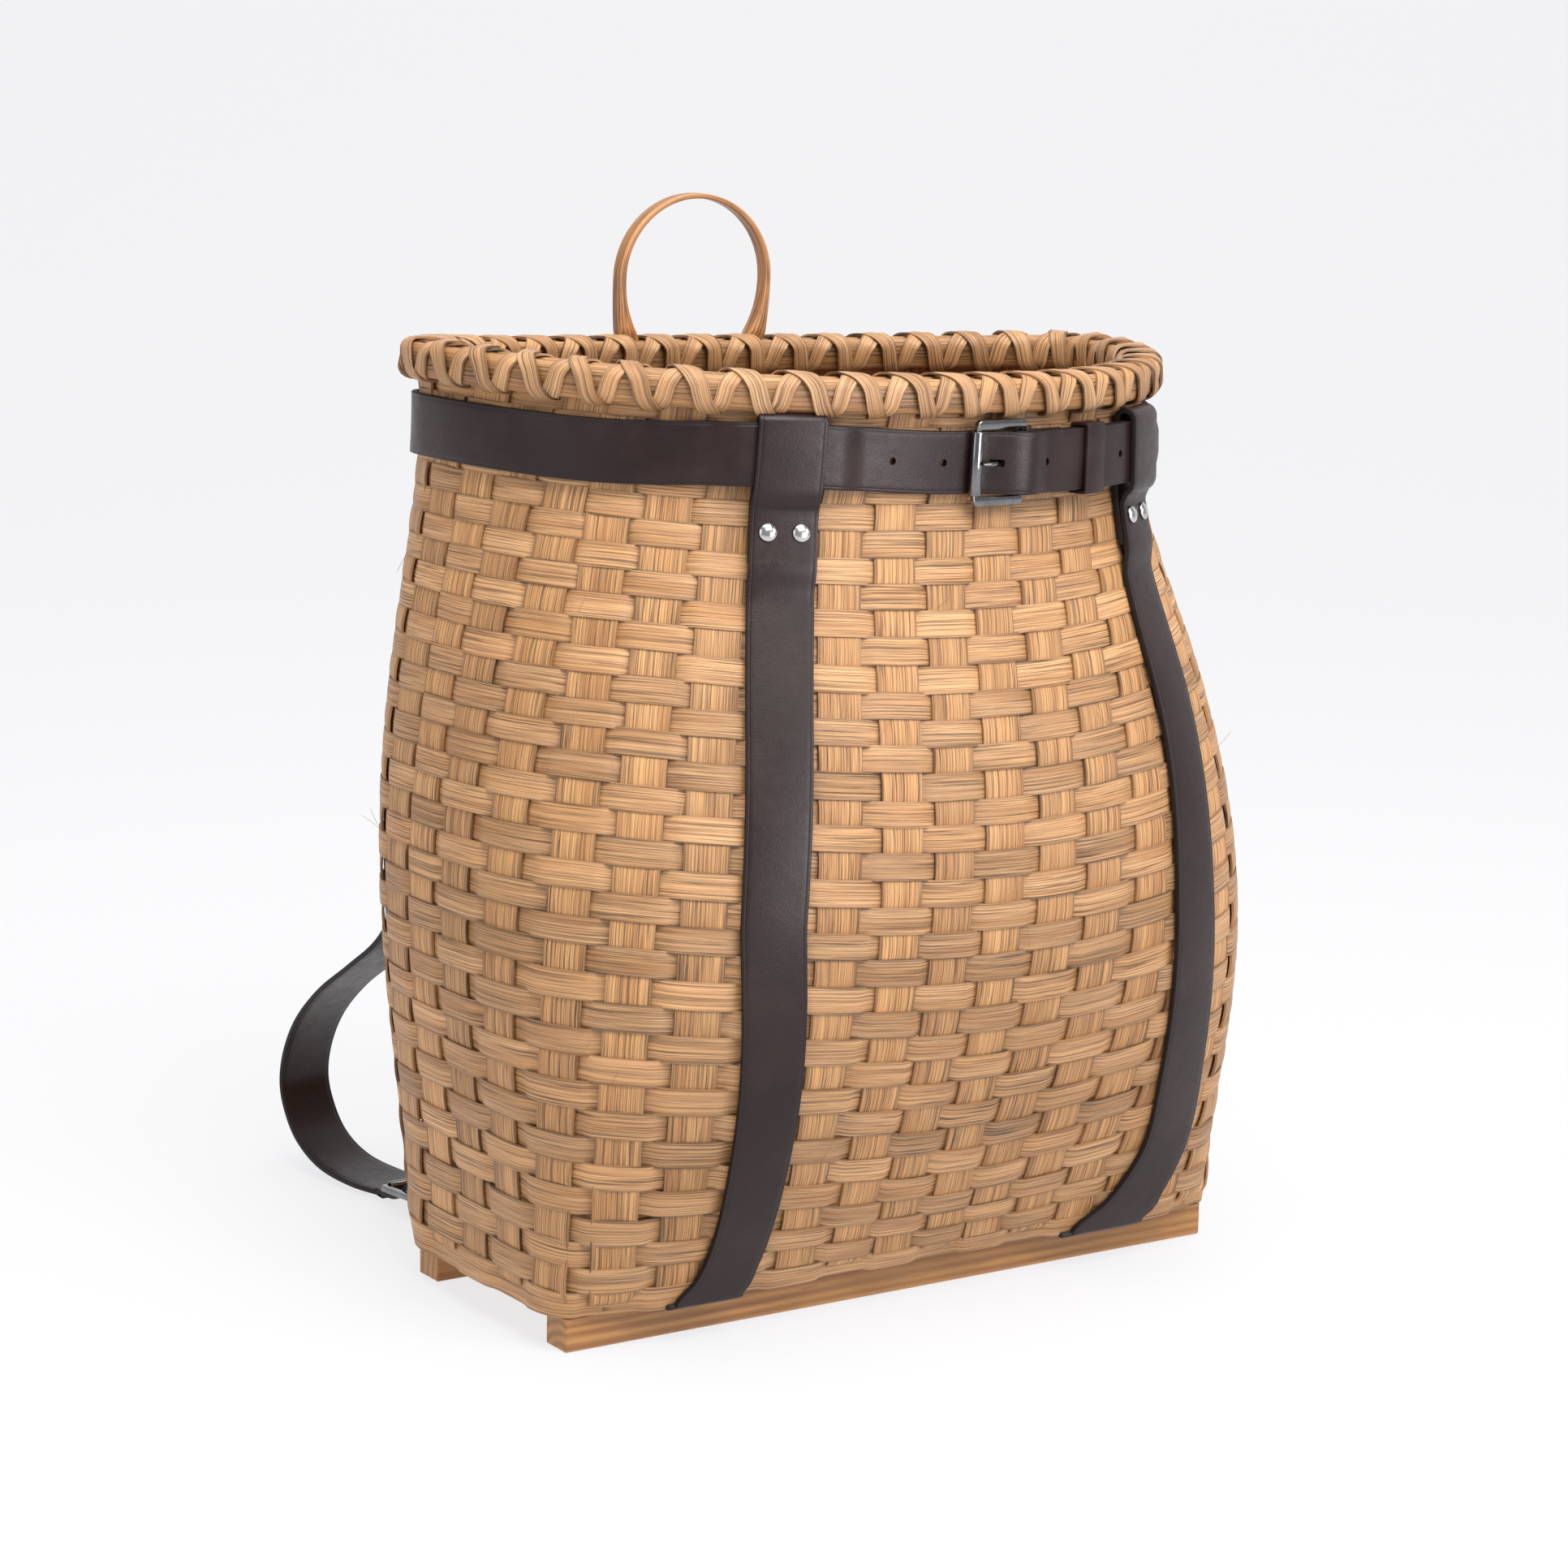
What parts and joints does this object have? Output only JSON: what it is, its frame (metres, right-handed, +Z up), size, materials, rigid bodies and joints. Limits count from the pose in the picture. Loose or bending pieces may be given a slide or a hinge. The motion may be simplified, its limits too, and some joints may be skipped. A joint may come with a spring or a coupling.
{
  "type": "pack basket",
  "caption": "Woven splint pack basket on two wooden runners, with a laced rim, bentwood carrying handle and a leather harness with roller buckles.",
  "frame": {"origin": "middle of the front runner's underside, on the floor", "axes": "+X along the runners to the right as seen from the front, -Y towards the front of the basket, where the belt buckle is, +Z up"},
  "size_m": [0.4634, 0.4506, 0.5618],
  "materials": {
    "splint": "dry woven reed splint, matte",
    "hoop_wood": "half-round rim hoop, matte",
    "stained_wood": "stained softwood, satin",
    "handle_wood": "steam-bent strip, oiled",
    "leather": "dark brown harness leather, satin",
    "chrome": "nickel plated",
    "steel": "plain screw"
  },
  "bodies": {
    "basket": {"basket_body": "splint", "belt": "leather", "belt_buckle_frame": "chrome", "body_strap_left": "leather", "body_strap_left_rivet_left": "chrome", "body_strap_left_rivet_right": "chrome", "body_strap_right": "leather", "body_strap_right_rivet_left": "chrome", "body_strap_right_rivet_right": "chrome", "carry_handle": "handle_wood", "front_runner": "stained_wood", "front_runner_screw_left": "steel", "front_runner_screw_middle": "steel", "front_runner_screw_right": "steel", "rear_buckle_left_frame": "chrome", "rear_buckle_right_frame": "chrome", "rear_runner": "stained_wood", "rear_runner_screw_left": "steel", "rear_runner_screw_middle": "steel", "rear_runner_screw_right": "steel", "rim_filler": "hoop_wood", "rim_filler_behind_handle": "hoop_wood", "rim_inner_hoop": "hoop_wood", "rim_lacing_first": "splint", "rim_lacing_second": "splint", "rim_outer_hoop": "hoop_wood", "shoulder_strap_left": "leather", "shoulder_strap_left_rivet_left": "chrome", "shoulder_strap_left_rivet_right": "chrome", "shoulder_strap_right": "leather", "shoulder_strap_right_rivet_left": "chrome", "shoulder_strap_right_rivet_right": "chrome"},
    "belt_prong": {"belt_buckle_prong": "chrome"},
    "belt_roller": {"belt_buckle_roller": "chrome"},
    "belt_keeper_body": {"belt_keeper": "leather"},
    "left_prong": {"rear_buckle_left_prong": "chrome"},
    "left_roller": {"rear_buckle_left_roller": "chrome"},
    "left_keeper": {"rear_keeper_left": "leather"},
    "right_prong": {"rear_buckle_right_prong": "chrome"},
    "right_roller": {"rear_buckle_right_roller": "chrome"},
    "right_keeper": {"rear_keeper_right": "leather"}
  },
  "joints": [
    {"name": "belt_prong_hinge", "type": "hinge", "parent": "basket", "child": "belt_prong", "pos_m": [0.0346, -0.04885, 0.44387], "axis": [0.0319, -0.0135, 0.9994], "range_deg": [0, 2]},
    {"name": "belt_roller_spin", "type": "hinge", "parent": "basket", "child": "belt_roller", "pos_m": [0.00466, -0.05183, 0.44478], "axis": [0.0319, -0.0135, 0.9994], "continuous": true},
    {"name": "belt_keeper_slide", "type": "slide", "parent": "basket", "child": "belt_keeper_body", "axis": [0.9613, 0.2749, -0.0197], "range_m": [-0.001, 0.001]},
    {"name": "left_prong_hinge", "type": "hinge", "parent": "basket", "child": "left_prong", "pos_m": [-0.142, 0.22367, 0.01375], "axis": [1, 0, 0], "range_deg": [0, 2]},
    {"name": "left_roller_spin", "type": "hinge", "parent": "basket", "child": "left_roller", "pos_m": [-0.142, 0.25314, 0.01173], "axis": [1, 0, 0], "continuous": true},
    {"name": "left_keeper_slide", "type": "slide", "parent": "basket", "child": "left_keeper", "axis": [0, -0.9929, 0.1191], "range_m": [-0.002, 0.002]},
    {"name": "right_prong_hinge", "type": "hinge", "parent": "basket", "child": "right_prong", "pos_m": [0.142, 0.22367, 0.01375], "axis": [1, 0, 0], "range_deg": [0, 2]},
    {"name": "right_roller_spin", "type": "hinge", "parent": "basket", "child": "right_roller", "pos_m": [0.142, 0.25314, 0.01173], "axis": [1, 0, 0], "continuous": true},
    {"name": "right_keeper_slide", "type": "slide", "parent": "basket", "child": "right_keeper", "axis": [0, -0.9929, 0.1191], "range_m": [-0.002, 0.002]}
  ]
}
